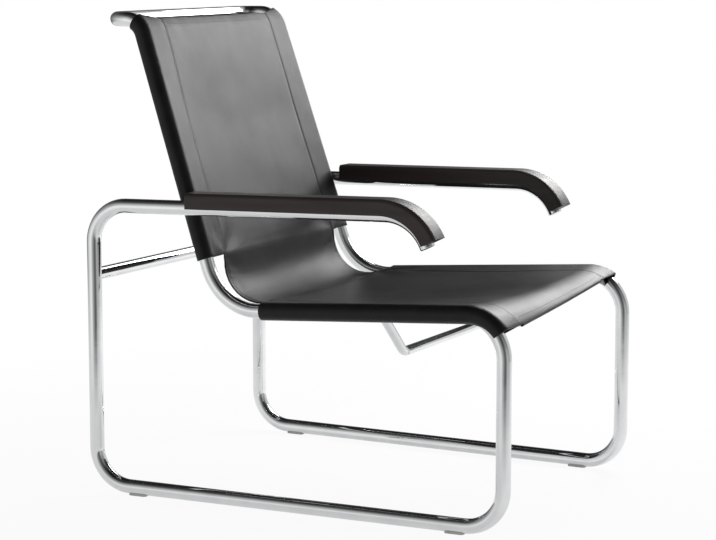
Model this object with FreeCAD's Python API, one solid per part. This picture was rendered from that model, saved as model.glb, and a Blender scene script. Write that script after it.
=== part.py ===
import FreeCAD, Part
import math
import os

# Cantilever lounge chair: bent steel tube side frames, a tube seat and back frame hung between
# them, a stretched leather sling sewn round the tubes, and wooden arm rests on the arm tubes.
# Millimetres. The sitter faces -Y, +Z is up, the sitter's left is +X, the floor is z = 0.

V = FreeCAD.Vector

# Main frame tube
tube_d = 25.0
tube_wall = 2.0
tube_r = tube_d / 2

# Side frames: vertical planes that stand slightly closer together at the front
post_spacing = 768.0
front_half_width = 269.0
rear_half_width = 289.0
glide_lift = 1.5
runner_z = glide_lift + tube_r
corner_bend_r = 66.0
front_top_bend_r = 70.0
arm_z_rear = 507.0
arm_z_front = 522.0
arm_bend_start_y = -173.0
arm_bend_r = 80.0
arm_bend_turn = 65.0
arm_tip_run = 5.0

# Seat and back frame
rail_front_z = 367.0
rail_rear_z = 332.5
rail_rear_y = 153.5
rail_rear_half_width = 250.0
seat_back_bend_r = 100.0
upright_top_y = 318.0
upright_top_z = 826.0
top_half_width = 235.0
top_bar_y = 380.5
top_bend_r = 36.0

# Hidden joint between each side frame and the seat frame
joint_y = -262.0
joint_gap = 0.4
plug_length = 72.0
plug_clearance = 0.3
joint_screw_offset = 20.0

# Bars across the chair
rear_bar_d = 22.0
rear_bar_z = 385.0
brace_d = 16.0
brace_wall = 1.5
brace_y = -160.0
brace_half_width = 177.0
brace_z = 275.0
brace_bend_r = 26.0

# Leather sling
leather_t = 3.0
sleeve_gap = 0.3
sleeve_inner_r = tube_r + sleeve_gap
sleeve_outer_r = sleeve_inner_r + leather_t
seam_inset = 50.0
seam_width = 4.0
front_wrap = 56.0
seat_sag = 20.0
front_start_sag = 11.0
front_edge_sag = 9.0
bend_sag = 12.0
bend_slack = 12.0
back_sag = 12.0
top_edge_sag = 3.0
bend_edge_inset = 44.0
back_sleeve_rise = 15.0
top_wrap = 32.0
brace_notch_d = 23.0

# Arm rests
rest_width = 48.0
rest_height = 27.0
rest_round = 7.0
rest_rear_y = 189.0
rest_groove_gap = 0.3

rest_end_margin = 3.5

# Fasteners
hole_clearance = 0.1
arm_screw_y = (165.0, 0.0, -150.0)
screw_shank_d = 4.0
screw_head_d = 8.0
screw_head_h = 2.4
screw_head_gap = 1.2
screw_depth = 10.0
access_hole_d = 9.0
joint_bolt_d = 5.0
joint_bolt_head_d = 9.0
joint_bolt_head_h = 1.6
joint_bolt_reach = 4.0
joint_pocket_d = 11.0

# End caps and floor glides
cap_lip = 2.0
cap_rim_r = 1.2
cap_depth = 8.0
cap_clearance = 0.3
glide_y = 300.0
glide_length = 34.0
glide_width = 17.0
glide_side_h = 3.0
glide_corner_r = 5.0
glide_peg_d = 6.0
glide_peg_h = 4.0

front_y = -post_spacing / 2
rear_y = post_spacing / 2
sides = {"right": -1, "left": 1}


def frame_half_width(y):
    """Distance of a side frame's plane from the middle of the chair, at depth y."""
    along = (y - front_y) / post_spacing
    return front_half_width + (rear_half_width - front_half_width) * along


def rail_half_width(y):
    """Distance of a seat rail's axis from the middle of the chair, at depth y."""
    along = (y - front_y) / (rail_rear_y - front_y)
    return front_half_width + (rail_rear_half_width - front_half_width) * along


def rail_z(y):
    along = (y - front_y) / (rail_rear_y - front_y)
    return rail_front_z + (rail_rear_z - rail_front_z) * along


def arm_z(y):
    along = (rear_y - y) / post_spacing
    return arm_z_rear + (arm_z_front - arm_z_rear) * along


def side_point(side, y, z):
    return V(side * frame_half_width(y), y, z)


def rail_point(side, y):
    return V(side * rail_half_width(y), y, rail_z(y))


def rounded_path(corners, radii):
    """One wire of straight runs joined by tangent arcs, one radius for each inner corner."""
    edges = []
    start = corners[0]
    for before, corner, after, radius in zip(corners, corners[1:], corners[2:], radii):
        back = (before - corner).normalize()
        ahead = (after - corner).normalize()
        half_turn = (math.pi - back.getAngle(ahead)) / 2
        setback = radius * math.tan(half_turn)
        first = corner + back * setback
        last = corner + ahead * setback
        inward = (back + ahead).normalize()
        middle = corner + inward * (radius / math.cos(half_turn) - radius)
        if (first - start).Length > 0.01:
            edges.append(Part.makeLine(start, first))
        edges.append(Part.Arc(first, middle, last).toShape())
        start = last
    if (corners[-1] - start).Length > 0.01:
        edges.append(Part.makeLine(start, corners[-1]))
    return Part.Wire(edges)


def swept_rod(path, radius):
    """A round solid rod of the given radius along a path."""
    edge = path.Edges[0]
    start = edge.valueAt(edge.FirstParameter)
    tangent = edge.tangentAt(edge.FirstParameter)
    circle = Part.Wire([Part.makeCircle(radius, start, tangent)])
    return path.makePipeShell([circle], True, False)


def swept_tube(path, radius, wall):
    return swept_rod(path, radius).cut(swept_rod(path, radius - wall))


def single(shape):
    """The one solid of a shape, or the shape itself when it holds several."""
    cleaned = shape.removeSplitter()
    if len(cleaned.Solids) == 1:
        return cleaned.Solids[0]
    return cleaned


def save(name, shape):
    if not shape.isValid():
        raise ValueError("invalid shape: " + name)
    shape.exportStep("parts/" + name + ".step")
    print(name, len(shape.Solids), "solids", round(shape.Volume), "mm3")


def arm_corner_y():
    return arm_bend_start_y - arm_bend_r * math.tan(math.radians(arm_bend_turn / 2))


def arm_tip(side, extra=0.0):
    """End point of the arm tube, past its downward bend."""
    corner = side_point(side, arm_corner_y(), arm_z(arm_corner_y()))
    behind = side_point(side, rear_y, arm_z_rear)
    forward = (corner - behind).normalize()
    across = forward.cross(V(0, 0, 1)).normalize()
    down = V(0, 0, -1)
    level = down.cross(across) * -1
    if level.dot(forward) < 0:
        level = level * -1
    pitch = math.asin(forward.z)
    turned = pitch - math.radians(arm_bend_turn)
    heading = level * math.cos(turned) - down * math.sin(turned)
    reach = arm_bend_r * math.tan(math.radians(arm_bend_turn / 2)) + arm_tip_run + extra
    return corner + heading * reach


def side_frame_path(side):
    """Arm tip, arm, rear post, floor runner, front post, seat rail up to the hidden joint."""
    corners = [
        arm_tip(side),
        side_point(side, arm_corner_y(), arm_z(arm_corner_y())),
        side_point(side, rear_y, arm_z_rear),
        side_point(side, rear_y, runner_z),
        side_point(side, front_y, runner_z),
        side_point(side, front_y, rail_front_z),
        rail_point(side, joint_y - joint_gap / 2),
    ]
    radii = [arm_bend_r, corner_bend_r, corner_bend_r, corner_bend_r, front_top_bend_r]
    return rounded_path(corners, radii)


def seat_back_path():
    """Axis of the tube that makes both seat rails, both uprights and the top bar."""
    half = [
        rail_point(-1, joint_y + joint_gap / 2),
        rail_point(-1, rail_rear_y),
        V(-top_half_width, upright_top_y, upright_top_z),
        V(-top_half_width, top_bar_y, upright_top_z),
    ]
    mirrored = [V(-point.x, point.y, point.z) for point in reversed(half)]
    radii = [seat_back_bend_r, top_bend_r, top_bend_r]
    return rounded_path(half + mirrored, radii + radii[::-1])


def arm_screw_places(side):
    """Points on the arm tube's axis where the arm rest is screwed down."""
    places = []
    for y in arm_screw_y:
        places.append(side_point(side, y, arm_z(y)))
    return places


def joint_screw_places(side):
    places = []
    for offset in (-joint_screw_offset, joint_screw_offset):
        places.append(rail_point(side, joint_y + offset))
    return places


def hole_below(place, radius):
    """Upright drill that ends on a tube's axis and leaves through the tube's underside."""
    return Part.makeCylinder(radius, tube_d, place - V(0, 0, tube_d))


def side_frame(side):
    tube = swept_tube(side_frame_path(side), tube_r, tube_wall)
    for place in arm_screw_places(side):
        shank = Part.makeCylinder(screw_shank_d / 2 + hole_clearance, tube_d, place)
        tube = tube.cut(hole_below(place, access_hole_d / 2)).cut(shank)
    for y in (glide_y, -glide_y):
        tube = tube.cut(hole_below(side_point(side, y, runner_z), glide_peg_d / 2 + hole_clearance))
    front_screw = joint_screw_places(side)[0]
    tube = tube.cut(hole_below(front_screw, joint_bolt_d / 2 + hole_clearance))
    return single(tube)


def seat_back_frame():
    tube = swept_tube(seat_back_path(), tube_r, tube_wall)
    for side in sides.values():
        rear_screw = joint_screw_places(side)[1]
        tube = tube.cut(hole_below(rear_screw, joint_bolt_d / 2 + hole_clearance))
    return single(tube)


def rail_plug(side):
    """Solid steel plug that joins the side frame's tube to the seat rail's tube."""
    centre = rail_point(side, joint_y)
    direction = (rail_point(side, joint_y + 10) - centre).normalize()
    radius = tube_r - tube_wall - plug_clearance
    plug = Part.makeCylinder(radius, plug_length, centre - direction * (plug_length / 2), direction)
    for place in joint_screw_places(side):
        plug = plug.cut(hole_below(place, joint_bolt_d / 2))
    return single(plug)


def rail_joint_screws(side):
    """Button head screws, put in from below, that lock the plug in both tubes."""
    rail = Part.Wire([Part.makeLine(rail_point(side, -glide_y), rail_point(side, 0))])
    rail_rod = swept_rod(rail, tube_r)
    screws = []
    for place in joint_screw_places(side):
        foot = place - V(0, 0, tube_r + hole_clearance)
        shank = Part.makeCylinder(joint_bolt_d / 2, tube_r + joint_bolt_reach, foot)
        head = Part.makeCylinder(joint_bolt_head_d / 2, joint_bolt_head_h, foot - V(0, 0, joint_bolt_head_h))
        tube_around_bore = rail_rod.cut(hole_below(place, joint_bolt_d / 2))
        screws.append(single(shank.fuse(head).cut(tube_around_bore)))
    return Part.makeCompound(screws)


def rear_crossbar():
    """Bar between the rear posts, its ends coped to the posts and welded."""
    start = V(-rear_half_width, rear_y, rear_bar_z)
    bar = Part.makeCylinder(rear_bar_d / 2, 2 * rear_half_width, start, V(1, 0, 0))
    bore = Part.makeCylinder(rear_bar_d / 2 - tube_wall, 2 * rear_half_width, start, V(1, 0, 0))
    bar = bar.cut(bore)
    for side in sides.values():
        post_foot = V(side * rear_half_width, rear_y, rear_bar_z - tube_d)
        bar = bar.cut(Part.makeCylinder(tube_r, 2 * tube_d, post_foot))
    return single(bar)


def brace_path():
    right = rail_point(-1, brace_y)
    corners = [
        right,
        V(-brace_half_width, brace_y, brace_z),
        V(brace_half_width, brace_y, brace_z),
        V(-right.x, right.y, right.z),
    ]
    return rounded_path(corners, [brace_bend_r, brace_bend_r])


def under_seat_brace():
    """Thin tube that dips below the seat leather and holds the two seat rails apart."""
    brace = swept_tube(brace_path(), brace_d / 2, brace_wall)
    for side in sides.values():
        ends = [rail_point(side, brace_y - 2 * tube_d), rail_point(side, brace_y + 2 * tube_d)]
        rail = Part.Wire([Part.makeLine(*ends)])
        brace = brace.cut(swept_rod(rail, tube_r))
    pieces = sorted(brace.Solids, key=lambda solid: solid.Volume)
    return single(pieces[-1])


def rest_section(side, centre, forward):
    """Cross section of an arm rest: flat below the tube's axis, rounded on top."""
    across = forward.cross(V(0, 0, 1)).normalize()
    up = across.cross(forward).normalize()
    half = rest_width / 2
    low = rest_height - rest_round
    shoulder = half - rest_round
    diagonal = rest_round * math.sqrt(0.5)

    def at(sideways, height):
        return centre + across * sideways + up * height

    right_mid = at(shoulder + diagonal, low + diagonal)
    left_mid = at(-shoulder - diagonal, low + diagonal)
    edges = [
        Part.makeLine(at(-half, 0), at(half, 0)),
        Part.makeLine(at(half, 0), at(half, low)),
        Part.Arc(at(half, low), right_mid, at(shoulder, rest_height)).toShape(),
        Part.makeLine(at(shoulder, rest_height), at(-shoulder, rest_height)),
        Part.Arc(at(-shoulder, rest_height), left_mid, at(-half, low)).toShape(),
        Part.makeLine(at(-half, low), at(-half, 0)),
    ]
    return Part.Wire(edges)


def armrest(side):
    """Bent wooden arm rest that sits over the upper half of the arm tube."""
    corners = [
        side_point(side, rest_rear_y, arm_z(rest_rear_y)),
        side_point(side, arm_corner_y(), arm_z(arm_corner_y())),
        arm_tip(side, -rest_end_margin),
    ]
    path = rounded_path(corners, [arm_bend_r])
    forward = (corners[1] - corners[0]).normalize()
    section = rest_section(side, corners[0], forward)
    wood = path.makePipeShell([section], True, False)
    groove_y = rest_rear_y + tube_r
    groove_start = side_point(side, groove_y, arm_z(groove_y))
    groove_path = rounded_path([groove_start, corners[1], arm_tip(side, tube_r)], [arm_bend_r])
    wood = wood.cut(swept_rod(groove_path, tube_r + rest_groove_gap))
    for place in arm_screw_places(side):
        pilot = Part.makeCylinder(screw_shank_d / 2 + hole_clearance, tube_r + screw_depth, place)
        wood = wood.cut(pilot)
    return single(wood)


def armrest_screws(side):
    """Wood screws that pull the arm rest down on the tube, heads inside the tube."""
    screws = []
    length = screw_head_h + screw_head_gap + tube_wall + screw_depth
    for place in arm_screw_places(side):
        head_low = place + V(0, 0, tube_r - tube_wall - screw_head_h - screw_head_gap)
        head = Part.makeCylinder(screw_head_d / 2, screw_head_h, head_low)
        shank = Part.makeCylinder(screw_shank_d / 2, length, head_low)
        screws.append(single(head.fuse(shank)))
    return Part.makeCompound(screws)


def arm_end_cap(side):
    """Turned cap that closes the open end of the arm tube."""
    tip = arm_tip(side)
    inside = arm_tip(side, -1)
    outward = (tip - inside).normalize()
    lip = Part.makeCylinder(tube_r, cap_lip, tip, outward)
    rim = [edge for edge in lip.Edges if abs((edge.CenterOfMass - tip).dot(outward) - cap_lip) < 0.01]
    lip = lip.makeFillet(cap_rim_r, rim)
    shank_r = tube_r - tube_wall - cap_clearance
    shank = Part.makeCylinder(shank_r, cap_depth, tip - outward * cap_depth, outward)
    return single(lip.fuse(shank))


def floor_glide(side, y):
    """Moulded pad under a runner, with a peg that snaps into the tube."""
    centre = side_point(side, y, runner_z)
    ahead = (side_point(side, y - 10, runner_z) - centre).normalize()
    across = ahead.cross(V(0, 0, 1))
    foot = side_point(side, y, 0)
    corner = foot - ahead * (glide_length / 2) - across * (glide_width / 2)
    base = Part.makePolygon([
        corner,
        corner + ahead * glide_length,
        corner + ahead * glide_length + across * glide_width,
        corner + across * glide_width,
        corner,
    ])
    pad = Part.Face(base).extrude(V(0, 0, glide_lift + glide_side_h))
    upright = [edge for edge in pad.Edges if abs(edge.tangentAt(edge.FirstParameter).z) > 0.9]
    pad = pad.makeFillet(glide_corner_r, upright)
    runner = Part.makeCylinder(tube_r, 2 * glide_length, centre - ahead * glide_length, ahead)
    peg = Part.makeCylinder(glide_peg_d / 2, glide_lift + tube_wall + glide_peg_h, foot)
    return single(pad.cut(runner).fuse(peg))


def sling_profile():
    """Side view of the tube axis that the leather follows: tangent points, centres, directions."""
    rail_ahead = V(0, rail_rear_y - front_y, rail_rear_z - rail_front_z).normalize()
    upright_ahead = V(0, upright_top_y - rail_rear_y, upright_top_z - rail_rear_z).normalize()
    rail_up = V(0, -rail_ahead.z, rail_ahead.y)
    upright_up = V(0, -upright_ahead.z, upright_ahead.y)
    front_turn = math.pi / 2 + math.atan2(-rail_ahead.z, rail_ahead.y)
    front_setback = front_top_bend_r * math.tan(front_turn / 2)
    front_start = V(0, front_y, rail_front_z) + rail_ahead * front_setback
    back_turn = rail_ahead.getAngle(upright_ahead)
    back_setback = seat_back_bend_r * math.tan(back_turn / 2)
    bend_corner = V(0, rail_rear_y, rail_rear_z)
    bend_start = bend_corner - rail_ahead * back_setback
    top_turn = upright_ahead.getAngle(V(0, 1, 0))
    top_setback = top_bend_r * math.tan(top_turn / 2)
    top_start = V(0, upright_top_y, upright_top_z) - upright_ahead * top_setback
    return {
        "rail_ahead": rail_ahead,
        "rail_up": rail_up,
        "upright_ahead": upright_ahead,
        "upright_up": upright_up,
        "front_start": front_start,
        "front_centre": front_start - rail_up * front_top_bend_r,
        "back_turn": back_turn,
        "bend_start": bend_start,
        "bend_centre": bend_start + rail_up * seat_back_bend_r,
        "bend_end": bend_corner + upright_ahead * back_setback,
        "back_start": bend_corner + upright_ahead * (back_setback + back_sleeve_rise),
        "top_turn": top_turn,
        "top_start": top_start,
        "top_centre": top_start - upright_up * top_bend_r,
    }


def upright_half_width(z):
    along = (z - rail_rear_z) / (upright_top_z - rail_rear_z)
    return rail_rear_half_width + (top_half_width - rail_rear_half_width) * along


def blend(low, high, along):
    return low + (high - low) * along


def face_arc(radius, tube_half_width, sag):
    """One face of the leather between the tubes, as a hanging circle tangent to both sleeves."""
    lean = 2 * math.atan(sag / tube_half_width)
    half = tube_half_width - radius * math.sin(lean)
    middle = radius - sag
    rise = radius * math.cos(lean) - middle
    return {"lean": lean, "half": half, "middle": middle, "arc_r": (half**2 + rise**2) / (2 * rise)}


def face_height(face, x):
    return face["middle"] + face["arc_r"] - math.sqrt(face["arc_r"] ** 2 - x**2)


def leaving_angle(radius, reach, height):
    """Angle round the tube where a tangent leaves it for a point beside it, reach inwards."""
    return math.pi - math.atan2(height, reach) + math.acos(radius / math.hypot(reach, height))


def sling_section(axis, up, tube_half_width, sag):
    """Outline across the chair: the panel and, at both edges, its fold round the tube."""
    top = face_arc(sleeve_outer_r, tube_half_width, sag)
    low = face_arc(sleeve_inner_r, tube_half_width, sag)
    seam_x = tube_half_width - seam_inset
    seam_height = face_height(low, seam_x)
    first = math.pi / 2 + top["lean"]
    last = leaving_angle(sleeve_outer_r, seam_inset, seam_height)
    outermost = (first + last) / 2 - math.pi

    def at(x, height):
        return V(x, 0, 0) + axis + up * height

    def round_tube(side, turn):
        outward = tube_half_width + sleeve_outer_r * math.cos(turn)
        return at(side * outward, sleeve_outer_r * math.sin(turn))

    def fold(side, turns):
        return Part.Arc(*[round_tube(side, turn) for turn in turns]).toShape()

    seams = {side: at(side * seam_x, seam_height) for side in sides.values()}
    return Part.Wire([
        Part.Arc(round_tube(-1, first), at(0, top["middle"]), round_tube(1, first)).toShape(),
        fold(1, [first, outermost, last]),
        Part.makeLine(round_tube(1, last), seams[1]),
        Part.Arc(seams[1], at(0, low["middle"]), seams[-1]).toShape(),
        Part.makeLine(seams[-1], round_tube(-1, last)),
        fold(-1, [last, outermost, first]),
    ])


def sleeve_hollow_section(axis, up, tube_half_width, sag, side):
    """Outline of the hollow in a sleeve: round the tube, then narrowing to the seam."""
    low = face_arc(sleeve_inner_r, tube_half_width, sag)
    tip_reach = seam_inset - seam_width
    tip_x = tube_half_width - tip_reach
    first = math.pi / 2 + low["lean"]
    last = leaving_angle(sleeve_inner_r, tip_reach, face_height(low, tip_x))
    outermost = (first + last) / 2 - math.pi
    between_x = (tip_x + low["half"]) / 2

    def at(x, height):
        return V(side * x, 0, 0) + axis + up * height

    def round_tube(turn):
        return at(tube_half_width + sleeve_inner_r * math.cos(turn), sleeve_inner_r * math.sin(turn))

    tip = at(tip_x, face_height(low, tip_x))
    return Part.Wire([
        Part.Arc(round_tube(first), round_tube(outermost), round_tube(last)).toShape(),
        Part.makeLine(round_tube(last), tip),
        Part.Arc(tip, at(between_x, face_height(low, between_x)), round_tube(first)).toShape(),
    ])


def strip_section(axis, up, tube_half_width, sag):
    """Outline of the plain leather at the bend, its edges just inside the tubes."""
    top = face_arc(sleeve_outer_r, tube_half_width, sag)
    low = face_arc(sleeve_inner_r, tube_half_width, sag)
    edge_x = tube_half_width - bend_edge_inset

    def at(x, height):
        return V(x, 0, 0) + axis + up * height

    top_height = face_height(top, edge_x)
    low_height = face_height(low, edge_x)
    return Part.Wire([
        Part.Arc(at(-edge_x, top_height), at(0, top["middle"]), at(edge_x, top_height)).toShape(),
        Part.makeLine(at(edge_x, top_height), at(edge_x, low_height)),
        Part.Arc(at(edge_x, low_height), at(0, low["middle"]), at(-edge_x, low_height)).toShape(),
        Part.makeLine(at(-edge_x, low_height), at(-edge_x, top_height)),
    ])


def sleeved_panel(stations):
    """Leather through a row of stations, with an open sleeve along both edges."""
    body = Part.makeLoft([sling_section(*station) for station in stations], True, False)
    for side in sides.values():
        hollow = [sleeve_hollow_section(*station, side) for station in stations]
        body = body.cut(Part.makeLoft(hollow, True, False))
    return body


def seat_stations(shape, steps=7):
    """From the rear cut-outs forward along the rails."""
    stations = []
    run = shape["front_start"] - shape["bend_start"]
    for step in range(steps + 1):
        along = step / steps
        axis = shape["bend_start"] + run * along
        ends_sag = blend(bend_sag, front_start_sag, along)
        sag = blend(ends_sag, seat_sag, math.sin(math.pi * along))
        stations.append((axis, shape["rail_up"], rail_half_width(axis.y), sag))
    return stations


def front_stations(shape, steps=4):
    """Round the front bend of the rails, down to the front hem."""
    stations = []
    for step in range(steps + 1):
        turn = math.radians(front_wrap) * step / steps
        up = shape["rail_up"] * math.cos(turn) - shape["rail_ahead"] * math.sin(turn)
        axis = shape["front_centre"] + up * front_top_bend_r
        sag = blend(front_start_sag, front_edge_sag, step / steps)
        stations.append((axis, up, rail_half_width(axis.y), sag))
    return stations


def bend_stations(shape, steps=6):
    """Round the bend between the seat and the back, hanging a little slack."""
    stations = []
    seat_width = rail_half_width(shape["bend_start"].y)
    back_width = upright_half_width(shape["bend_end"].z)
    for step in range(steps + 1):
        turn = shape["back_turn"] * step / steps
        up = shape["rail_up"] * math.cos(turn) - shape["rail_ahead"] * math.sin(turn)
        slack = bend_slack * math.sin(math.pi * step / (steps + 1))
        axis = shape["bend_centre"] - up * (seat_back_bend_r + slack)
        stations.append((axis, up, blend(seat_width, back_width, step / steps), bend_sag))
    start = shape["back_start"]
    stations.append((start, shape["upright_up"], upright_half_width(start.z), bend_sag))
    return stations


def back_stations(shape, steps=6):
    """From the cut-outs up the uprights to the start of the top bend."""
    stations = []
    run = shape["top_start"] - shape["back_start"]
    for step in range(steps + 1):
        along = step / steps
        axis = shape["back_start"] + run * along
        ends_sag = blend(bend_sag, top_edge_sag, along)
        sag = blend(ends_sag, back_sag, math.sin(math.pi * along))
        stations.append((axis, shape["upright_up"], upright_half_width(axis.z), sag))
    return stations


def top_stations(shape, steps=3):
    """Backwards over the top bend, to the top hem."""
    stations = []
    start_width = upright_half_width(shape["top_start"].z)
    for step in range(steps + 1):
        turn = math.radians(top_wrap) * step / steps
        up = shape["upright_up"] * math.cos(turn) + shape["upright_ahead"] * math.sin(turn)
        axis = shape["top_centre"] + up * top_bend_r
        width = blend(start_width, top_half_width, turn / shape["top_turn"])
        stations.append((axis, up, width, top_edge_sag))
    return stations


def leather_sling():
    """One stretched hide: seat, bend and back, its edges folded round the tubes and sewn."""
    shape = sling_profile()
    bend = Part.makeLoft([strip_section(*station) for station in bend_stations(shape)], True, False)
    rows = [front_stations(shape), back_stations(shape), top_stations(shape)]
    body = sleeved_panel(seat_stations(shape)).fuse([bend] + [sleeved_panel(row) for row in rows])
    for side in sides.values():
        for place in joint_screw_places(side):
            body = body.cut(hole_below(place, joint_pocket_d / 2))
    notch = swept_rod(brace_path(), brace_notch_d / 2)
    return body.cut(notch).Solids[0]


os.makedirs("parts", exist_ok=True)

for name, side in sides.items():
    save("side_frame_" + name, side_frame(side))
    save("armrest_" + name, armrest(side))
    save("armrest_screws_" + name, armrest_screws(side))
    save("arm_end_cap_" + name, arm_end_cap(side))
    save("rail_plug_" + name, rail_plug(side))
    save("rail_joint_screws_" + name, rail_joint_screws(side))
    save("floor_glide_front_" + name, floor_glide(side, -glide_y))
    save("floor_glide_rear_" + name, floor_glide(side, glide_y))

save("seat_back_frame", seat_back_frame())
save("rear_crossbar", rear_crossbar())
save("under_seat_brace", under_seat_brace())
save("leather_sling", leather_sling())
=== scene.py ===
import math

import bmesh
import bpy
from mathutils import Matrix, Vector, noise


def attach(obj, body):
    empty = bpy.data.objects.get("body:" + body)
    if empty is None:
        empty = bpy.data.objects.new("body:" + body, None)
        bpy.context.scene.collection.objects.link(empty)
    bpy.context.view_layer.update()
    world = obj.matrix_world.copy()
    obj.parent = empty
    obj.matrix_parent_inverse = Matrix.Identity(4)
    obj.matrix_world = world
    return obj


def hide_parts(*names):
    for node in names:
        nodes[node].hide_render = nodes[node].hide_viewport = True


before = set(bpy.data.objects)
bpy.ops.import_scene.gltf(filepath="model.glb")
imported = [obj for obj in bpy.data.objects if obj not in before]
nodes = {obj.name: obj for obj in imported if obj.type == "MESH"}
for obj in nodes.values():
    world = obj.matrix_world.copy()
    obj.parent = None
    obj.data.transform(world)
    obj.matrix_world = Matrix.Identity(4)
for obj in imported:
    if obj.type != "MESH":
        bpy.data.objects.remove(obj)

scene = bpy.context.scene
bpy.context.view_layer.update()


# Viewpoint of the photograph: a long lens, well back from the chair, low and in front of it
# on the sitter's right.
camera = bpy.data.objects.new("camera", bpy.data.cameras.new("camera"))
camera.data.sensor_width = 36.0
camera.data.lens = 113.44
camera.location = (-3.5435, -1.7933, 0.9459)
camera.rotation_euler = [math.radians(angle) for angle in (81.903, 0.0, -62.944)]
scene.collection.objects.link(camera)
scene.camera = camera


# Side frames, seat and back frame, rear crossbar and under-seat brace: drawn steel tube, bent
# cold, polished and chrome plated. The plate is a mirror with faint polishing haze, even all
# over here, though the real plate is a little less even round the bends.
tube_nodes = [
    "side_frame_right",
    "side_frame_left",
    "seat_back_frame",
    "rear_crossbar",
    "under_seat_brace",
]


def new_material(name):
    """A material with node links ready, its shader and the object's own coordinates."""
    material = bpy.data.materials.new(name)
    material.use_nodes = True
    shader = material.node_tree.nodes["Principled BSDF"]
    place = material.node_tree.nodes.new("ShaderNodeTexCoord")
    return material, shader, place.outputs["Object"]


def add_noise(material, place, scale, detail, stretch=(1, 1, 1)):
    """Noise over a place, stretched along an axis by a small factor there."""
    tree = material.node_tree
    mapping = tree.nodes.new("ShaderNodeMapping")
    mapping.inputs["Scale"].default_value = stretch
    pattern = tree.nodes.new("ShaderNodeTexNoise")
    pattern.inputs["Scale"].default_value = scale
    pattern.inputs["Detail"].default_value = detail
    tree.links.new(place, mapping.inputs["Vector"])
    tree.links.new(mapping.outputs["Vector"], pattern.inputs["Vector"])
    return pattern.outputs["Fac"]


def add_range(material, value, low, high, from_low=0.3, from_high=0.7):
    """The value, spread from low to high."""
    spread = material.node_tree.nodes.new("ShaderNodeMapRange")
    spread.inputs["From Min"].default_value = from_low
    spread.inputs["From Max"].default_value = from_high
    spread.inputs["To Min"].default_value = low
    spread.inputs["To Max"].default_value = high
    material.node_tree.links.new(value, spread.inputs["Value"])
    return spread.outputs["Result"]


def add_bump(material, height, distance, strength=1.0, under=None):
    """Surface relief of the given depth in metres, over another relief if there is one."""
    bump = material.node_tree.nodes.new("ShaderNodeBump")
    bump.inputs["Strength"].default_value = strength
    bump.inputs["Distance"].default_value = distance
    material.node_tree.links.new(height, bump.inputs["Height"])
    if under is not None:
        material.node_tree.links.new(under, bump.inputs["Normal"])
    return bump.outputs["Normal"]


def add_colours(material, value, stops):
    """A colour ramp; stops are (place, colour)."""
    ramp = material.node_tree.nodes.new("ShaderNodeValToRGB")
    elements = ramp.color_ramp.elements
    for spare in range(len(stops) - 2):
        elements.new(0.5)
    for element, (position, colour) in zip(elements, stops):
        element.position = position
        element.color = (*colour, 1.0)
    material.node_tree.links.new(value, ramp.inputs["Fac"])
    return ramp.outputs["Color"]


chrome, shader, place = new_material("chromed_steel")
links = chrome.node_tree.links
haze = add_noise(chrome, place, 26.0, 4.0)
shader.inputs["Metallic"].default_value = 1.0
colour = add_colours(chrome, haze, [(0.3, (0.83, 0.84, 0.85)), (0.7, (0.90, 0.905, 0.91))])
links.new(colour, shader.inputs["Base Color"])
links.new(add_range(chrome, haze, 0.035, 0.075), shader.inputs["Roughness"])
ripple = add_noise(chrome, place, 45.0, 2.0)
links.new(add_bump(chrome, ripple, 0.00008), shader.inputs["Normal"])
for name in tube_nodes:
    nodes[name].material_slots[0].material = chrome


# Rail plugs: turned steel, pressed into the tube ends. They are inside the tubes.
turned, shader, place = new_material("turned_steel")
lathe = add_noise(turned, place, 300.0, 3.0, (0.05, 1.0, 1.0))
shader.inputs["Metallic"].default_value = 1.0
shader.inputs["Base Color"].default_value = (0.56, 0.55, 0.53, 1.0)
turned.node_tree.links.new(add_range(turned, lathe, 0.25, 0.45), shader.inputs["Roughness"])
for name in ("rail_plug_right", "rail_plug_left"):
    nodes[name].material_slots[0].material = turned


# Screws: zinc plated steel, in the rail joints and under the arm rests.
zinc, shader, place = new_material("zinc_plated_screw")
bloom = add_noise(zinc, place, 180.0, 5.0)
shader.inputs["Metallic"].default_value = 1.0
colour = add_colours(zinc, bloom, [(0.3, (0.50, 0.51, 0.53)), (0.7, (0.66, 0.67, 0.68))])
zinc.node_tree.links.new(colour, shader.inputs["Base Color"])
zinc.node_tree.links.new(add_range(zinc, bloom, 0.22, 0.4), shader.inputs["Roughness"])
for name in (
    "rail_joint_screws_right",
    "rail_joint_screws_left",
    "armrest_screws_right",
    "armrest_screws_left",
):
    nodes[name].material_slots[0].material = zinc


# Floor glides: small moulded pads, snapped into the runners.
pad, shader, place = new_material("moulded_glide")
scuff = add_noise(pad, place, 220.0, 6.0)
colour = add_colours(pad, scuff, [(0.3, (0.62, 0.62, 0.60)), (0.7, (0.74, 0.74, 0.72))])
pad.node_tree.links.new(colour, shader.inputs["Base Color"])
pad.node_tree.links.new(add_range(pad, scuff, 0.45, 0.7), shader.inputs["Roughness"])
pad.node_tree.links.new(add_bump(pad, scuff, 0.00005), shader.inputs["Normal"])
for end in ("front", "rear"):
    for side in ("right", "left"):
        nodes[f"floor_glide_{end}_{side}"].material_slots[0].material = pad


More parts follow.
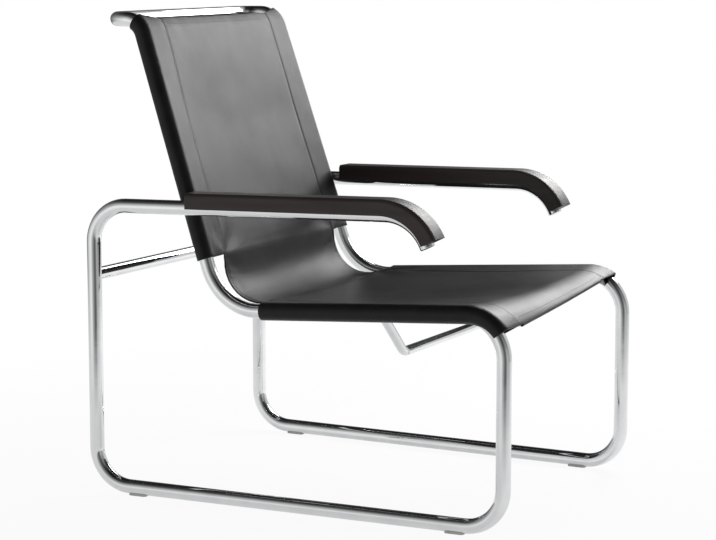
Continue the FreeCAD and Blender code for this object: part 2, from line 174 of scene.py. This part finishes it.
# Leather sling: one thick hide of smooth core leather, stretched over the seat rails and the
# uprights. Its side edges are folded round the tubes and sewn down, its front and top edges are
# turned under and sewn, and it is cut away where the tubes bend between seat and back.
hide_thickness = 0.0028
tube_radius = 0.0125
tube_clearance = 0.0003
half_sleeve_wall = 0.0015
sleeve_radius = tube_radius + tube_clearance + half_sleeve_wall
seam_inset = 0.050
flap_width = 0.012
hem_end_gap = 0.004
cut_edge_inset = 0.044
back_sleeve_rise = 0.015
bend_slack = 0.012
front_bend_radius = 0.070
seat_bend_radius = 0.100
top_bend_radius = 0.036
front_wrap_right, front_wrap_left = math.radians(56.0), math.radians(36.0)
top_wrap = math.radians(30.0)
sleeve_top_wrap = math.radians(43.0)
hem_reach = 0.018
hem_radius = 0.0016

front_corner = Vector((0.0, -0.384, 0.367))
seat_corner = Vector((0.0, 0.1535, 0.3325))
top_corner = Vector((0.0, 0.318, 0.826))
rail_half_front, rail_half_rear, upright_half_top = 0.269, 0.250, 0.235


def slope(start, end):
    return math.atan2(end.z - start.z, end.y - start.y)


seat_slope = slope(front_corner, seat_corner)
back_slope = slope(seat_corner, top_corner)
front_setback = front_bend_radius * math.tan((math.pi / 2 + seat_slope) / 2)
seat_setback = seat_bend_radius * math.tan((back_slope - seat_slope) / 2)
top_setback = top_bend_radius * math.tan(back_slope / 2)
seat_run = (seat_corner - front_corner).length - front_setback - seat_setback
back_run = (top_corner - seat_corner).length - seat_setback - top_setback
front_arc = front_bend_radius * front_wrap_right
bend_arc = seat_bend_radius * (back_slope - seat_slope)
top_arc = top_bend_radius * top_wrap

# Lengths along the tube, from the front hem, where one stretch gives way to the next
seat_start = front_arc
bend_start = seat_start + seat_run
bend_end = bend_start + bend_arc
back_start = bend_end + back_sleeve_rise
top_start = bend_end + back_run
top_end = top_start + top_arc


def along_tube(length):
    """Tube axis point and slope at a length from the front hem, seen from the side."""
    seat_axis = front_corner + Vector((0, math.cos(seat_slope), math.sin(seat_slope))) * front_setback
    if length < seat_start:
        return bent(seat_axis, seat_slope, -front_bend_radius, length - seat_start)
    if length < bend_start:
        return straight(seat_axis, seat_slope, length - seat_start)
    bend_axis = straight(seat_axis, seat_slope, seat_run)[0]
    if length < bend_end:
        return bent(bend_axis, seat_slope, seat_bend_radius, length - bend_start)
    back_axis = bent(bend_axis, seat_slope, seat_bend_radius, bend_arc)[0]
    if length < top_start:
        return straight(back_axis, back_slope, length - bend_end)
    top_axis = straight(back_axis, back_slope, back_run)[0]
    return bent(top_axis, back_slope, -top_bend_radius, length - top_start)


def straight(start, angle, distance):
    return start + Vector((0, math.cos(angle), math.sin(angle))) * distance, angle


def bent(start, angle, radius, distance):
    turned_angle = angle + distance / radius
    shift_y = radius * (math.sin(turned_angle) - math.sin(angle))
    shift_z = radius * (math.cos(angle) - math.cos(turned_angle))
    return start + Vector((0, shift_y, shift_z)), turned_angle


def tube_half_width(axis, length):
    """Distance of the tube's axis from the middle of the chair."""
    along_rail = (axis.y - front_corner.y) / (seat_corner.y - front_corner.y)
    along_upright = (axis.z - seat_corner.z) / (top_corner.z - seat_corner.z)
    rail = rail_half_front + (rail_half_rear - rail_half_front) * along_rail
    upright = rail_half_rear + (upright_half_top - rail_half_rear) * along_upright
    share = min(max((length - bend_start) / bend_arc, 0.0), 1.0)
    return rail + (upright - rail) * share


# Sag of the hide's middle at lengths along the tube
sag_stations = [
    (0.0, 0.009),
    (seat_start, 0.011),
    (seat_start + seat_run * 0.5, 0.020),
    (bend_start, 0.012),
    (back_start, 0.012),
    (back_start + back_run * 0.5, 0.013),
    (top_start, 0.003),
    (top_end, 0.003),
]


def sag_at(length):
    """How far the middle of the hide hangs below its edges."""
    for (start, low), (end, high) in zip(sag_stations, sag_stations[1:]):
        if length <= end:
            part = min(max((length - start) / (end - start), 0.0), 1.0)
            return low + (high - low) * (0.5 - 0.5 * math.cos(math.pi * part))
    return sag_stations[-1][1]


def slack_at(length):
    """How far the leather between the sleeves hangs below the line of the tube at the bend."""
    if not bend_start < length < back_start:
        return 0.0
    return bend_slack * math.sin(math.pi * (length - bend_start) / (back_start - bend_start))


def front_edge_shift(share):
    """The front hem runs a little askew; share is -1 at its right end and 1 at its left end."""
    return front_bend_radius * (front_wrap_right - front_wrap_left) * (0.5 + 0.5 * share)


def hanging_arc(half_width, sag):
    """The circle across the chair on which the hide hangs, tangent to both sleeves."""
    lean = 2 * math.atan(sag / half_width)
    half = half_width - sleeve_radius * math.sin(lean)
    middle = sleeve_radius - sag
    rise = sleeve_radius * math.cos(lean) - middle
    return lean, half, middle, (half * half + rise * rise) / (2 * rise)


def across_hide(half_width, sag, stretch, part):
    """Place over the tube's axis plane, part of the way through one stretch of the hide."""
    lean, half, middle, arc = hanging_arc(half_width, sag)

    def height(x):
        return middle + arc - math.sqrt(arc * arc - x * x)

    seam_x = half_width - seam_inset
    cut_x = half_width - cut_edge_inset
    hem_x = seam_x - flap_width - hem_end_gap
    seam_height = height(seam_x) - hide_thickness
    leave = math.pi - math.atan2(seam_height, seam_inset)
    leave += math.acos(sleeve_radius / math.hypot(seam_inset, seam_height))
    first = math.pi / 2 + lean
    if stretch in ("middle", "beside_seam", "over_seam", "to_tube"):
        low, high = {
            "middle": (0.0, hem_x),
            "beside_seam": (hem_x, seam_x),
            "over_seam": (seam_x, cut_x),
            "to_tube": (cut_x, half),
        }[stretch]
        x = low + (high - low) * part
        return x, height(x), lean * x / half - math.pi / 2
    if stretch == "round_tube":
        turn = first + (leave - 2 * math.pi - first) * part
        return (
            half_width + sleeve_radius * math.cos(turn),
            sleeve_radius * math.sin(turn),
            turn,
        )
    if stretch == "to_seam":
        leave_x = half_width + sleeve_radius * math.cos(leave)
        leave_height = sleeve_radius * math.sin(leave)
        x = leave_x + (seam_x - leave_x) * part
        return x, leave_height + (seam_height - leave_height) * part, leave
    x = seam_x - flap_width * part
    return x, height(x) - hide_thickness, leave


half_columns = []
for stretch, count in (
    ("middle", 28),
    ("beside_seam", 6),
    ("over_seam", 4),
    ("to_tube", 14),
    ("round_tube", 26),
    ("to_seam", 12),
    ("flap", 4),
):
    half_columns += [(stretch, (step + 1) / count) for step in range(count)]
columns = [(-1, *column) for column in reversed(half_columns)]
columns += [(1, "middle", 0.0)] + [(1, *column) for column in half_columns]

rows = [("front_hem", step / 10) for step in range(10)]
for name, start, end, count in (
    ("sleeved", 0.0, seat_start, 14),
    ("sleeved", seat_start, bend_start, 56),
    ("bend", bend_start, back_start, 28),
    ("sleeved", back_start, top_start, 64),
    ("sleeved", top_start, top_end, 7),
):
    rows += [(name, start + (end - start) * step / count) for step in range(count)]
rows.append(("sleeved", top_end))
rows += [("top_hem", (step + 1) / 10) for step in range(10)]


def hem_turn(part):
    """Turned-under edge: how far back along the tube, how far past the edge and how far down."""
    bend_part = 0.5  # share of the hem's rows that goes round its fold
    if part < bend_part:
        angle = math.pi * part / bend_part
        return 0.0, hem_radius * math.sin(angle), hem_radius * (math.cos(angle) - 1)
    return hem_reach * (part - bend_part) / (1 - bend_part), 0.0, -2 * hem_radius


# Unevenness of the stretched hide: how deep each kind is, and how far it reaches or how often it
# comes
broad_depth, fine_depth = 0.0011, 0.0005
pucker_depth, pucker_reach, pucker_pitch = 0.00022, 0.011, 0.0135
groove_depth, groove_reach = 0.0009, 0.0028
crease_depth, crease_reach = 0.0007, 0.035
hem_wave_depth, hem_wave_reach = 0.0006, 0.03
pull_depth, pull_reach, pull_distance, pull_folds = 0.0011, 0.035, 0.045, 5
edge_fade_width = 0.03


def fading(distance, reach):
    return math.exp(-((distance / reach) ** 2))


def relief(x, length, half_width):
    """Unevenness of the stretched hide, measured outwards."""
    seam = abs(x) - (half_width - seam_inset)
    place = Vector((x, length, 0.0))
    broad = broad_depth * noise.noise(place * 6.5)
    broad += fine_depth * noise.noise(place * 17.0 + Vector((3, 1, 5)))
    wave = math.sin(2 * math.pi * length / pucker_pitch + 2.5 * noise.noise(place * 30.0))
    pucker = pucker_depth * wave * fading(seam, pucker_reach)
    groove = -groove_depth * fading(seam, groove_reach)
    from_bend = min(abs(length - bend_start), abs(length - back_start))
    crease = noise.noise(Vector((x * 7.0, length * 75.0, 2.0)))
    creases = crease_depth * crease * fading(from_bend, crease_reach)
    hem_noise = noise.noise(Vector((x * 38.0, 0.4, length * 12.0)))
    hem_wave = hem_wave_depth * hem_noise * fading(min(length, top_end - length), hem_wave_reach)
    pull = 0.0
    for corner in (bend_start, back_start):
        from_cut = half_width - cut_edge_inset - abs(x)
        reach = math.hypot(from_cut, length - corner)
        heading = math.atan2(length - corner, from_cut)
        pull += pull_depth * math.cos(pull_folds * heading) * fading(reach - pull_distance, pull_reach)
    edge_fade = min(1.0, max(0.0, (half_width - abs(x)) / edge_fade_width))
    return (broad + creases + hem_wave + pull) * edge_fade + pucker + groove


sleeve_swell = 0.0003

hide = bmesh.new()
bmesh.ops.create_grid(hide, x_segments=len(columns) - 1, y_segments=len(rows) - 1, size=0.5)
flat_uv = hide.loops.layers.uv.new("flat")
grid_place = {}
for vertex in hide.verts:
    column = round((vertex.co.x + 0.5) * (len(columns) - 1))
    row = round((vertex.co.y + 0.5) * (len(rows) - 1))
    grid_place[vertex] = (column, row)

cloth_place = {}
for vertex, (column, row) in grid_place.items():
    side, stretch, part = columns[column]
    kind, length = rows[row]
    past_edge, down = 0.0, 0.0
    if kind == "front_hem":
        length, past_edge, down = hem_turn(1 - length)
        past_edge = -past_edge
    elif kind == "top_hem":
        length, past_edge, down = hem_turn(length)
        length = top_end - length
    elif length > top_start:
        sleeve_share = {"to_tube": part, "round_tube": 1.0, "to_seam": 1.0 - part}
        extra = top_bend_radius * (sleeve_top_wrap - top_wrap) * sleeve_share.get(stretch, 0.0)
        length += extra * (length - top_start) / top_arc
    if kind != "top_hem" and length < seat_start:
        share = part if stretch == "middle" else 1.0
        length += front_edge_shift(side * share) * (1.0 - length / seat_start)
    axis, angle = along_tube(length)
    half_width = tube_half_width(axis, length)
    x, lift, turn = across_hide(half_width, sag_at(length), stretch, part)
    if stretch in ("middle", "beside_seam", "over_seam", "to_tube"):
        lift += relief(side * x, length, half_width) + down
    elif stretch == "round_tube":
        lump = noise.noise(Vector((side * 3.0 + turn * 1.3, length * 24.0, 0.7)))
        swell = sleeve_swell * max(0.0, lump) * math.sin(math.pi * part)
        x += swell * math.cos(turn)
        lift += swell * math.sin(turn)
    lift -= slack_at(length)
    up = Vector((0.0, -math.sin(angle), math.cos(angle)))
    ahead = Vector((0.0, math.cos(angle), math.sin(angle)))
    vertex.co = axis + Vector((side * x, 0, 0)) + up * lift + ahead * past_edge
    cloth_place[vertex] = (side * x, length + past_edge)

spare_faces = []
for face in hide.faces:
    places = [grid_place[vertex] for vertex in face.verts]
    kinds = {rows[row][0] for column, row in places}
    stretches = {columns[column][1] for column, row in places}
    folded = stretches & {"round_tube", "to_seam", "flap"}
    past_cut = stretches & {"to_tube"} or folded
    past_hem = past_cut or stretches & {"over_seam", "beside_seam"}
    if "bend" in kinds and past_cut:
        spare_faces.append(face)
    elif kinds & {"front_hem", "top_hem"} and past_hem:
        spare_faces.append(face)
for face in hide.faces:
    for loop in face.loops:
        loop[flat_uv].uv = cloth_place[loop.vert]
bmesh.ops.delete(hide, geom=spare_faces, context="FACES")
bmesh.ops.recalc_face_normals(hide, faces=hide.faces)
flat_area = sum(face.calc_area() for face in hide.faces)
for face in hide.faces:
    face.smooth = True

hide_mesh = bpy.data.meshes.new("leather_hide")
hide.to_mesh(hide_mesh)
hide.free()
leather_hide = bpy.data.objects.new("leather_hide", hide_mesh)
scene.collection.objects.link(leather_hide)
thickness = leather_hide.modifiers.new("thickness", "SOLIDIFY")
thickness.thickness = hide_thickness
thickness.offset = 0.0
thickness.use_even_offset = True
edge_round = leather_hide.modifiers.new("edge_round", "BEVEL")
edge_round.width = 0.0006
edge_round.segments = 2
edge_round.limit_method = "ANGLE"
edge_round.angle_limit = math.radians(60)

leather, shader, place = new_material("black_core_leather")
links = leather.node_tree.links
grain = leather.node_tree.nodes.new("ShaderNodeTexVoronoi")
grain.feature = "DISTANCE_TO_EDGE"
grain.inputs["Scale"].default_value = 780.0
links.new(place, grain.inputs["Vector"])
pores = add_range(leather, grain.outputs["Distance"], 0.0, 1.0, 0.0, 0.25)
mottle = add_noise(leather, place, 38.0, 6.0)
cloud = add_noise(leather, place, 9.0, 3.0)
blacks = [(0.3, (0.006, 0.006, 0.0063)), (0.7, (0.012, 0.012, 0.0124))]
colour = add_colours(leather, mottle, blacks)
links.new(colour, shader.inputs["Base Color"])
links.new(add_range(leather, cloud, 0.33, 0.38), shader.inputs["Roughness"])
shader.inputs["Specular IOR Level"].default_value = 0.25
links.new(
    add_bump(leather, pores, 0.00012, 0.6, add_bump(leather, mottle, 0.0006, 0.5)),
    shader.inputs["Normal"],
)
hide_mesh.materials.append(leather)
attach(leather_hide, "root")
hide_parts("leather_sling")


# Sewing thread: waxed black thread, lockstitched along the side seams and along both hems, so
# that it shows on both faces of the hide.
stitch_pitch = 0.006
stitch_length = 0.0044
thread_radius = 0.00045
thread_flatness = 0.8
seam_end_gap = 0.004
bend_end_gap = 0.003
hem_seam_front, hem_seam_top = 0.012, 0.010
hem_seam_inset = 0.02

stitches = bmesh.new()


def sew(x, length, above, along_hem, relieved):
    """One stitch on the hide, a height above its middle layer."""
    axis, angle = along_tube(length)
    half_width = tube_half_width(axis, length)
    middle, arc = hanging_arc(half_width, sag_at(length))[2:]
    lift = middle + arc - math.sqrt(arc * arc - x * x) + above
    if relieved:
        lift += relief(x, length, half_width)
    up = Vector((0.0, -math.sin(angle), math.cos(angle)))
    along = Vector((0.0, math.cos(angle), math.sin(angle)))
    if along_hem:
        along = (Vector((1.0, 0.0, 0.0)) + up * (x / arc)).normalized()
    beside = up.cross(along).normalized()
    turn_matrix = Matrix((along, beside, along.cross(beside))).transposed().to_4x4()
    size = Matrix.Diagonal((stitch_length / 2, thread_radius, thread_radius * thread_flatness, 1.0))
    point = axis + Vector((x, 0.0, 0.0)) + up * lift
    bmesh.ops.create_uvsphere(
        stitches,
        u_segments=6,
        v_segments=4,
        radius=1.0,
        matrix=Matrix.Translation(point) @ turn_matrix @ size,
    )


thread_stand_off = 0.00005
top_face = hide_thickness / 2 + thread_stand_off
low_face = -hide_thickness * 1.5 - thread_stand_off
for side in (-1, 1):
    for start, end in (
        (front_edge_shift(side) + seam_end_gap, bend_start - bend_end_gap),
        (back_start + bend_end_gap, top_end - seam_end_gap),
    ):
        count = int((end - start) / stitch_pitch)
        for step in range(count):
            length = start + stitch_pitch * (step + 0.5)
            axis = along_tube(length)[0]
            seam_x = side * (tube_half_width(axis, length) - seam_inset)
            sew(seam_x, length, top_face, False, True)
            sew(seam_x, length + stitch_pitch / 2, low_face, False, False)
hem_half = rail_half_front - seam_inset - hem_seam_inset
for step in range(int(2 * hem_half / stitch_pitch)):
    x = -hem_half + stitch_pitch * (step + 0.5)
    shift = front_edge_shift(x / hem_half)
    length = shift + hem_seam_front * (1.0 - shift / seat_start)
    sew(x, length, top_face, True, True)
    sew(x + stitch_pitch / 2, length, -2 * hem_radius - top_face, True, True)
hem_half = upright_half_top - seam_inset - hem_seam_inset
for step in range(int(2 * hem_half / stitch_pitch)):
    x = -hem_half + stitch_pitch * (step + 0.5)
    length = top_end - hem_seam_top
    sew(x, length, top_face, True, True)
    sew(x + stitch_pitch / 2, length, -2 * hem_radius - top_face, True, True)
for face in stitches.faces:
    face.smooth = True
stitch_mesh = bpy.data.meshes.new("seam_stitches")
stitches.to_mesh(stitch_mesh)
stitches.free()
seam_stitches = bpy.data.objects.new("seam_stitches", stitch_mesh)
scene.collection.objects.link(seam_stitches)

thread, shader, place = new_material("waxed_thread")
twist = add_noise(thread, place, 1800.0, 2.0)
colour = add_colours(thread, twist, [(0.3, (0.010, 0.010, 0.010)), (0.7, (0.022, 0.022, 0.022))])
thread.node_tree.links.new(colour, shader.inputs["Base Color"])
thread.node_tree.links.new(add_range(thread, twist, 0.35, 0.55), shader.inputs["Roughness"])
thread.node_tree.links.new(add_bump(thread, twist, 0.0001), shader.inputs["Normal"])
stitch_mesh.materials.append(thread)
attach(seam_stitches, "root")


# Arm rests: solid wood, bent down at the front, grooved underneath to sit over the arm tube,
# stained black and lacquered.
wood, shader, place = new_material("black_stained_wood")
links = wood.node_tree.links
fibre = add_noise(wood, place, 160.0, 5.0, (1.0, 0.05, 1.0))
figure = add_noise(wood, place, 28.0, 3.0, (1.0, 0.09, 1.0))
colour = add_colours(wood, figure, [(0.25, (0.016, 0.012, 0.011)), (0.75, (0.042, 0.030, 0.026))])
links.new(colour, shader.inputs["Base Color"])
links.new(add_range(wood, fibre, 0.44, 0.56), shader.inputs["Roughness"])
links.new(add_bump(wood, fibre, 0.0001, 0.7), shader.inputs["Normal"])
shader.inputs["Specular IOR Level"].default_value = 0.4
shader.inputs["Coat Weight"].default_value = 0.12
shader.inputs["Coat Roughness"].default_value = 0.3
for name in ("armrest_right", "armrest_left"):
    nodes[name].material_slots[0].material = wood


# End caps of the arm tubes: small turned discs, polished like the tube.
for name in ("arm_end_cap_right", "arm_end_cap_left"):
    nodes[name].material_slots[0].material = chrome


# Studio: white paper under and behind the chair, the dark room on the camera's side, and large
# soft lamps on the sitter's left, where the leather and the wood catch them.
paper_reach = 8.0
plain_level = 0.45
lit_middle = (1.0, 0.5, 0.0)
lamp_aim = Vector((0.0, 0.1, 0.5))
screen_heading = (0.87, -0.45, 0.20)
screen_level = 0.60

floor_mesh = bmesh.new()
bmesh.ops.create_grid(floor_mesh, x_segments=1, y_segments=1, size=paper_reach)
floor_data = bpy.data.meshes.new("studio_floor")
floor_mesh.to_mesh(floor_data)
floor_mesh.free()
studio_floor = bpy.data.objects.new("studio_floor", floor_data)
scene.collection.objects.link(studio_floor)
paper, shader, place = new_material("studio_paper")
tree = paper.node_tree
shader.inputs["Roughness"].default_value = 0.9
shader.inputs["Specular IOR Level"].default_value = 0.0
fleck = add_noise(paper, place, 3.0, 2.0)
paper_colour = add_colours(paper, fleck, [(0.3, (0.86, 0.86, 0.86)), (0.7, (0.88, 0.88, 0.88))])
tree.links.new(paper_colour, shader.inputs["Base Color"])
rays = tree.nodes.new("ShaderNodeLightPath")
white = tree.nodes.new("ShaderNodeEmission")
from_chair = tree.nodes.new("ShaderNodeVectorMath")
from_chair.operation = "LENGTH"
tree.links.new(place, from_chair.inputs[0])
beyond = add_range(paper, from_chair.outputs["Value"], 0.93, 1.0, from_low=0.7, from_high=1.6)
for_camera = tree.nodes.new("ShaderNodeMixShader")
tree.links.new(beyond, for_camera.inputs["Fac"])
tree.links.new(shader.outputs["BSDF"], for_camera.inputs[1])
tree.links.new(white.outputs["Emission"], for_camera.inputs[2])
off_the_paper = tree.nodes.new("ShaderNodeBsdfTransparent")
lit = tree.nodes.new("ShaderNodeMixShader")
lit.inputs["Fac"].default_value = plain_level
tree.links.new(shader.outputs["BSDF"], lit.inputs[1])
tree.links.new(white.outputs["Emission"], lit.inputs[2])
from_middle = tree.nodes.new("ShaderNodeVectorMath")
from_middle.operation = "DISTANCE"
from_middle.inputs[1].default_value = lit_middle
tree.links.new(place, from_middle.inputs[0])
far_off = add_range(paper, from_middle.outputs["Value"], 0.0, 1.0, from_low=1.9, from_high=2.9)
for_metal = tree.nodes.new("ShaderNodeMixShader")
tree.links.new(far_off, for_metal.inputs["Fac"])
tree.links.new(lit.outputs["Shader"], for_metal.inputs[1])
tree.links.new(off_the_paper.outputs["BSDF"], for_metal.inputs[2])
by_metal = tree.nodes.new("ShaderNodeMixShader")
tree.links.new(rays.outputs["Is Glossy Ray"], by_metal.inputs["Fac"])
tree.links.new(shader.outputs["BSDF"], by_metal.inputs[1])
tree.links.new(for_metal.outputs["Shader"], by_metal.inputs[2])
by_camera = tree.nodes.new("ShaderNodeMixShader")
tree.links.new(rays.outputs["Is Camera Ray"], by_camera.inputs["Fac"])
tree.links.new(by_metal.outputs["Shader"], by_camera.inputs[1])
tree.links.new(for_camera.outputs["Shader"], by_camera.inputs[2])
tree.links.new(by_camera.outputs["Shader"], tree.nodes["Material Output"].inputs["Surface"])
floor_data.materials.append(paper)

world = bpy.data.worlds.new("studio")
world.use_nodes = True
scene.world = world
tree = world.node_tree
background = tree.nodes["Background"]
background.inputs["Color"].default_value = (1.0, 1.0, 1.0, 1.0)
heading = tree.nodes.new("ShaderNodeTexCoord")
parts = tree.nodes.new("ShaderNodeSeparateXYZ")
tree.links.new(heading.outputs["Generated"], parts.inputs["Vector"])
compass = tree.nodes.new("ShaderNodeMath")
compass.operation = "ARCTAN2"
tree.links.new(parts.outputs["Y"], compass.inputs[0])
tree.links.new(parts.outputs["X"], compass.inputs[1])
turn = tree.nodes.new("ShaderNodeMapRange")
turn.inputs["From Min"].default_value = -math.pi
turn.inputs["From Max"].default_value = math.pi
tree.links.new(compass.outputs["Value"], turn.inputs["Value"])

# Brightness of the room as polished metal sees it: by heading, in degrees from the sitter's left
# and counted towards the back of the chair, and by height
around = tree.nodes.new("ShaderNodeValToRGB")
headings = [
    (-180, 0.45),
    (-167, 0.32),
    (-153, 0.18),
    (-139, 0.10),
    (-125, 0.20),
    (-110, 0.46),
    (-77, 0.36),
    (-40, 0.55),
    (5, 0.30),
    (30, 0.10),
    (70, 0.20),
    (110, 0.60),
    (150, 0.90),
    (165, 0.75),
    (180, 0.48),
]
elements = around.color_ramp.elements
for spare in range(len(headings) - 2):
    elements.new(0.5)
for element, (degrees, brightness) in zip(elements, headings):
    element.position = (degrees + 180) / 360
    element.color = (brightness, brightness, brightness, 1.0)
tree.links.new(turn.outputs["Result"], around.inputs["Fac"])
upward = tree.nodes.new("ShaderNodeValToRGB")
heights = [
    (0.0, 1.0),
    (0.15, 0.85),
    (0.30, 0.60),
    (0.50, 0.45),
    (0.70, 0.15),
    (0.85, 0.05),
    (1.0, 0.04),
]
elements = upward.color_ramp.elements
for spare in range(len(heights) - 2):
    elements.new(0.5)
for element, (height, brightness) in zip(elements, heights):
    element.position = height
    element.color = (brightness, brightness, brightness, 1.0)
tree.links.new(parts.outputs["Z"], upward.inputs["Fac"])
room = tree.nodes.new("ShaderNodeMath")
room.operation = "MULTIPLY"
tree.links.new(around.outputs["Color"], room.inputs[0])
tree.links.new(upward.outputs["Color"], room.inputs[1])
screen = tree.nodes.new("ShaderNodeVectorMath")
screen.operation = "DOT_PRODUCT"
screen.inputs[1].default_value = screen_heading
tree.links.new(heading.outputs["Generated"], screen.inputs[0])
screen_edge = tree.nodes.new("ShaderNodeMapRange")
screen_edge.inputs["From Min"].default_value = 0.60
screen_edge.inputs["From Max"].default_value = 0.85
screen_edge.inputs["To Max"].default_value = screen_level
tree.links.new(screen.outputs["Value"], screen_edge.inputs["Value"])
lit_room = tree.nodes.new("ShaderNodeMath")
lit_room.operation = "MAXIMUM"
tree.links.new(room.outputs["Value"], lit_room.inputs[0])
tree.links.new(screen_edge.outputs["Result"], lit_room.inputs[1])
rays = tree.nodes.new("ShaderNodeLightPath")
by_metal = tree.nodes.new("ShaderNodeMix")
by_metal.data_type = "FLOAT"
by_metal.inputs[2].default_value = plain_level
tree.links.new(rays.outputs["Is Glossy Ray"], by_metal.inputs["Factor"])
tree.links.new(lit_room.outputs["Value"], by_metal.inputs[3])
seen_white = tree.nodes.new("ShaderNodeMath")
seen_white.operation = "MAXIMUM"
tree.links.new(rays.outputs["Is Camera Ray"], seen_white.inputs[0])
tree.links.new(rays.outputs["Is Transmission Ray"], seen_white.inputs[1])
level = tree.nodes.new("ShaderNodeMix")
level.data_type = "FLOAT"
level.inputs[3].default_value = 1.0
tree.links.new(seen_white.outputs["Value"], level.inputs["Factor"])
tree.links.new(by_metal.outputs["Result"], level.inputs[2])
tree.links.new(level.outputs["Result"], background.inputs["Strength"])

for name, place_of_lamp, width, height, power in (
    ("lamp_front_left", (1.30, -0.37, 1.20), 0.7, 0.7, 15.0),
    ("lamp_over_left", (2.45, 0.20, 1.90), 1.0, 0.8, 10.0),
):
    lamp_data = bpy.data.lights.new(name, "AREA")
    lamp_data.shape = "RECTANGLE"
    lamp_data.size = width
    lamp_data.size_y = height
    lamp_data.energy = power
    lamp = bpy.data.objects.new(name, lamp_data)
    lamp.location = place_of_lamp
    away = Vector(place_of_lamp) - lamp_aim
    lamp.rotation_euler = away.to_track_quat("Z", "Y").to_euler()
    lamp.visible_camera = False
    scene.collection.objects.link(lamp)

scene.view_settings.view_transform = "Standard"

bpy.context.view_layer.update()
